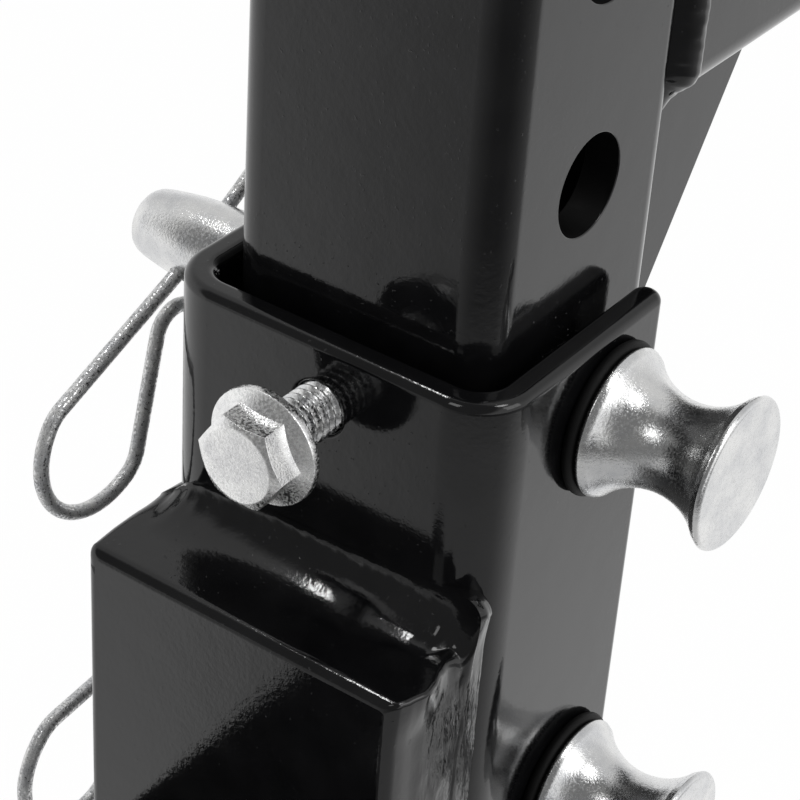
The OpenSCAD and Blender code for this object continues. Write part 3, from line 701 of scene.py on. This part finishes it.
# Heading leaves the head pale and grained, and rolling leaves the thread bright and smooth
cold_headed = zinc_plate("zinc_plated_cold_headed_steel", 0.13, blotch=3.0, grains=0.00005,
                         tones=("#e2e2e3", "#f8f8f7"))
rolled_thread = zinc_plate("zinc_plated_rolled_thread", 0.12, blotch=3.0, grains=0.00001)


def lathe(name, section, place, material, steps=96, axis="x"):
    """A turned piece: a half section of (along, radius) pairs spun about an axis through a place, in millimetres."""
    px, py, pz = place
    rings = []
    for along, radius in section:
        ring = []
        for k in range(steps):
            a, b = radius * math.cos(math.tau * k / steps), radius * math.sin(math.tau * k / steps)
            ring.append((px + along, py + a, pz + b) if axis == "x" else (px + a, py + along, pz + b))
        rings.append(ring)
    return skin(name, rings, material)


flange_y = -231.0
flange_r, flange_t, flats, head_h = 20.3 / 2, 1.6, 14.3, 6.3
shaft_r, shaft_end, thread_pitch = 9.5 / 2, -210.7, 25.4 / 16
# Flange: a rim with a round edge, dished up to the hexagon
section = [(0, 0.01), (0, flange_r - 0.35), (-0.12, flange_r - 0.08), (-0.4, flange_r), (-flange_t + 0.3, flange_r),
           (-flange_t + 0.08, flange_r - 0.08), (-flange_t, flange_r - 0.35), (-flange_t - 0.3, flange_r - 1.1),
           (-flange_t - 0.9, flats / 2 + 0.7), (-flange_t - 1.4, flats / 2 - 0.2), (-flange_t - 2.0, flats / 2 - 2),
           (-flange_t - 2.0, 0.01)]
flange = lathe("bolt_flange", section, (0, flange_y, bolt_z), cold_headed, axis="y")
work(flange, angle=50)
# Its bearing face, the flange's underside towards the collar, gets a rougher zinc painted darker: painted shade for
# the shadow it lies in, so that it doesn't mirror the tent into the weld's hollow
flange.data.materials.append(zinc_plate("bearing_face_zinc_painted_shade", 0.45, blotch=3.0, tones=("#505154", "#6e6f71")))
for face in flange.data.polygons:
    if face.normal.y > 0.9:
        face.material_index = 1
corner, tightened = flats / 2 / math.cos(math.pi / 6), math.radians(-4)
hexagon = skin("bolt_hexagon", [
    [(corner * math.cos(turn), flange_y - along, bolt_z + corner * math.sin(turn))
     for turn in (math.tau * k / 6 + tightened for k in range(6))]
    for along in (flange_t, flange_t + head_h)
], cold_headed)
dome = lathe("dome", [(-flange_t + 1, 0.01), (-flange_t + 1, corner + 1), (-flange_t - head_h + 1.05, corner + 0.1),
                      (-flange_t - head_h + 0.12, flats / 2 - 0.55), (-flange_t - head_h, flats / 2 - 0.85),
                      (-flange_t - head_h, 0.01)],
             (0, flange_y, bolt_z), cold_headed, axis="y")
work(hexagon, keep=[dome], round_mm=0.45, steps=4, angle=25)
# Thread: the surface runs up and down along the shaft and follows the angle round it, which makes the helix
rings = []
length = shaft_end - flange_y
samples = round(length / thread_pitch * 14)
for i in range(samples + 1):
    along = length * i / samples
    ring = []
    for k in range(64):
        phase = (along / thread_pitch - k / 64) % 1
        tooth = clipped(abs(2 * phase - 1) * 1.35 - 0.17)
        # It runs out under the head and is chamfered at the tip
        runout = clipped((along - 1.5) / 1.5)
        chamfer = max(0.0, 1.0 - (length - along))
        r = shaft_r - 0.12 - 0.78 * runout * (1 - tooth) - 0.9 * chamfer
        ring.append((r * math.cos(math.tau * k / 64), flange_y + along, bolt_z + r * math.sin(math.tau * k / 64)))
    rings.append(ring)
thread = skin("bolt_thread", rings, rolled_thread)
work(thread, angle=32)
for made in (flange, hexagon, thread):
    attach(made, "bolt")
    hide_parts("anti_rattle_bolt")


# The pins. Each is turned from 5/8 inch bar and zinc plated, with a spool head to pull it by, a tapered end that
# finds the holes, and a cross hole for its clip.
# Turning leaves the pins the brightest of the zinc, with a fine grain of rings
turned_steel = zinc_plate("zinc_plated_turned_steel", 0.09, blotch=7.0, lines="X", depth=0.0000025, grains=0.00005)
pin_r, head_x, head_len = 15.88 / 2, 35.3, 23.0
taper_x = -48.0
inner_r, outer_r, inner_rim, outer_rim, waist_r, edge = 13.0, 13.2, 1.7, 1.9, 12.6, 0.9
waist_mid = head_x + (head_len + inner_rim - outer_rim) / 2
waist_axis = inner_r - 5.0 + waist_r
section = [(-63.9, 0.01), (-63.9, 3.9), (-63.75, 4.5), (-63.4, 5.1), (-62.8, 5.75), (-62.0, 6.2), (-60.5, 6.6),
           (-57.0, 7.2), (-54.0, 7.6), (-51.0, 7.84), (taper_x, pin_r)]
section += [(taper_x + (head_x - taper_x) * k / 24, pin_r) for k in range(1, 25)]
section += [(head_x + edge - edge * math.cos(t), inner_r - edge + edge * math.sin(t))
            for t in (math.pi / 2 * k / 5 for k in range(6))]
waist = []
for k in range(49):
    x = head_x + inner_rim + (head_len - inner_rim - outer_rim) * k / 48
    waist.append((x, waist_axis - math.sqrt(waist_r ** 2 - (x - waist_mid) ** 2)))
section += [p for p in waist if p[1] < inner_r]
face_x = head_x + head_len
section += [(face_x - edge + edge * math.sin(t), outer_r - edge + edge * math.cos(t))
            for t in (math.pi / 2 * k / 5 for k in range(6))]
section += [(face_x, 0.01)]
clip_x, cross_hole_r = -51.0, 2.0
# The pins hang down a little in their loose holes, towards the free end
droop = 0.0062
# The height of each pin, and how far its clip leans down from level, in degrees
pin_places = (("upper", upper_z, 31.0), ("lower", lower_z, 14.0))
for name, z, lean in pin_places:
    pin = lathe(name + "_pin_turned", section, (0, bar_y, z), turned_steel, steps=128)
    for vertex in pin.data.vertices:
        vertex.co.z -= droop * max(0.0, collar_half / 1000 - vertex.co.x)
    leg_dir = Vector((0, -math.cos(math.radians(lean)), -math.sin(math.radians(lean))))
    mid = Vector((clip_x, bar_y, z - droop * (collar_half - clip_x)))
    work(pin, cut=[rod(mid - 20 * leg_dir, mid + 20 * leg_dir, cross_hole_r, 32)], round_mm=0.3, steps=2, angle=40)
    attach(pin, name + "_pin")
    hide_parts(name + "_pin")


# The rubber rings. Each is moulded from black rubber and pushed over its pin, up to the spool head, so that the head
# doesn't rattle on the collar.
rubber, tree, shader = new_material("moulded_black_rubber")
shader.inputs["IOR"].default_value = 1.25
# Moulded rubber scatters what it mirrors, with a dry bloom that clouds it in patches of a few millimetres
place = add_node(tree, "ShaderNodeTexCoord").outputs["Object"]
bloom = add_node(tree, "ShaderNodeTexNoise", {"Scale": 1000 / 4, "Detail": 3}, {"Vector": place})
tone = add_node(tree, "ShaderNodeValToRGB", {}, {"Fac": bloom.outputs["Fac"]})
tone.color_ramp.elements[0].color, tone.color_ramp.elements[1].color = srgb("#050505"), srgb("#0c0c0c")
tree.links.new(tone.outputs["Color"], shader.inputs["Base Color"])
matt = add_node(tree, "ShaderNodeMapRange", {"To Min": 0.45, "To Max": 0.65}, {"Value": bloom.outputs["Fac"]})
tree.links.new(matt.outputs["Result"], shader.inputs["Roughness"])
spark = add_node(tree, "ShaderNodeTexNoise", {"Scale": 1000 / 0.3, "Detail": 1}, {"Vector": place})
bump = add_node(tree, "ShaderNodeBump", {"Strength": 1, "Distance": 0.00002}, {"Height": spark.outputs["Fac"]})
tree.links.new(bump.outputs["Normal"], shader.inputs["Normal"])
ring_x, ring_t, ring_r, ring_bore = 33.15, 2.0, 13.6, 7.99
round_r, flash = ring_t / 2, 0.3
section = [(ring_bore, flash), (ring_bore + flash, 0)]
section += [(ring_r - round_r + round_r * math.sin(t), round_r - round_r * math.cos(t))
            for t in (math.pi * k / 12 for k in range(13))]
section += [(ring_bore + flash, ring_t), (ring_bore, ring_t - flash)]
for name, z, _ in pin_places:
    rings = [
        [(ring_x + along, bar_y + r * math.cos(turn), z + r * math.sin(turn))
         for turn in (math.tau * k / 96 for k in range(96))]
        for r, along in section
    ]
    ring = skin(name + "_rubber_ring", rings, rubber, loop=True)
    work(ring, angle=50)
    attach(ring, name + "_ring")
    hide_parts(name + "_pin_ring")


# The spring clips. Each is 2.8 mm spring wire, bent cold and zinc plated: a straight leg through the pin's cross
# hole, an eye to pull, and a bowed leg that snaps round the pin.
# Drawing and bending leave the plated wire duller than the pins
drawn_wire = zinc_plate("zinc_plated_drawn_wire", 0.3, blotch=4.0)
wire_r, leg_tail = 1.4, 18.0
# Straight length, bend radius and turn in degrees, from the tail of the straight leg; the sixth bend hugs the pin
bends = (
    (leg_tail + 2.8, 30, -7.5), (34.5, 7, 34), (0, 14.6, 152.5), (0, 6.5, 46),
    (22.5, 5, -97), (0, 9.64 + wire_r, 92), (0, 5, -62), (5, 0, 0),
)
for name, z, lean in pin_places:
    lean = math.radians(lean)
    along_leg = Vector((0, -math.cos(lean), -math.sin(lean)))
    across_leg = Vector((0, math.sin(lean), -math.cos(lean)))
    stations = []
    u, v, heading = -leg_tail, 0.0, 0.0
    for straight, radius, turn in bends:
        if straight:
            stations += [
                (u + straight * k / 6 * math.cos(heading), v + straight * k / 6 * math.sin(heading), heading)
                for k in range(6)
            ]
            u += straight * math.cos(heading)
            v += straight * math.sin(heading)
        if turn:
            signed = math.copysign(radius, turn)
            cu, cv = u - signed * math.sin(heading), v + signed * math.cos(heading)
            count = max(1, round(abs(turn) / 4))
            for k in range(count):
                now = heading + math.radians(turn) * k / count
                stations.append((cu + signed * math.sin(now), cv - signed * math.cos(now), now))
            heading += math.radians(turn)
            u, v = cu + signed * math.sin(heading), cv - signed * math.cos(heading)
    # The sawn ends are dressed: the wire narrows over its last half millimetre
    tail_u, tail_v, tail_heading = stations[0]
    ends = [(0.0, 0.55), (0.12, 0.8), (0.45, 1.0)]
    line = [(tail_u + d * math.cos(tail_heading), tail_v + d * math.sin(tail_heading), tail_heading, size)
            for d, size in ends]
    line += [(su, sv, sh, 1.0) for su, sv, sh in stations[1:]]
    line += [(u - d * math.cos(heading), v - d * math.sin(heading), heading, size) for d, size in reversed(ends)]
    rings = []
    for su, sv, sh, size in line:
        middle_point = Vector((clip_x, bar_y, z)) + su * along_leg + sv * across_leg
        side = -math.sin(sh) * along_leg + math.cos(sh) * across_leg
        rings.append([
            middle_point + wire_r * size * (math.cos(turn) * side + math.sin(turn) * Vector((1, 0, 0)))
            for turn in (math.tau * k / 16 for k in range(16))
        ])
    clip = skin(name + "_clip_wire", rings, drawn_wire)
    work(clip, angle=50)
    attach(clip, name + "_clip")
    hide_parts(name + "_clip")
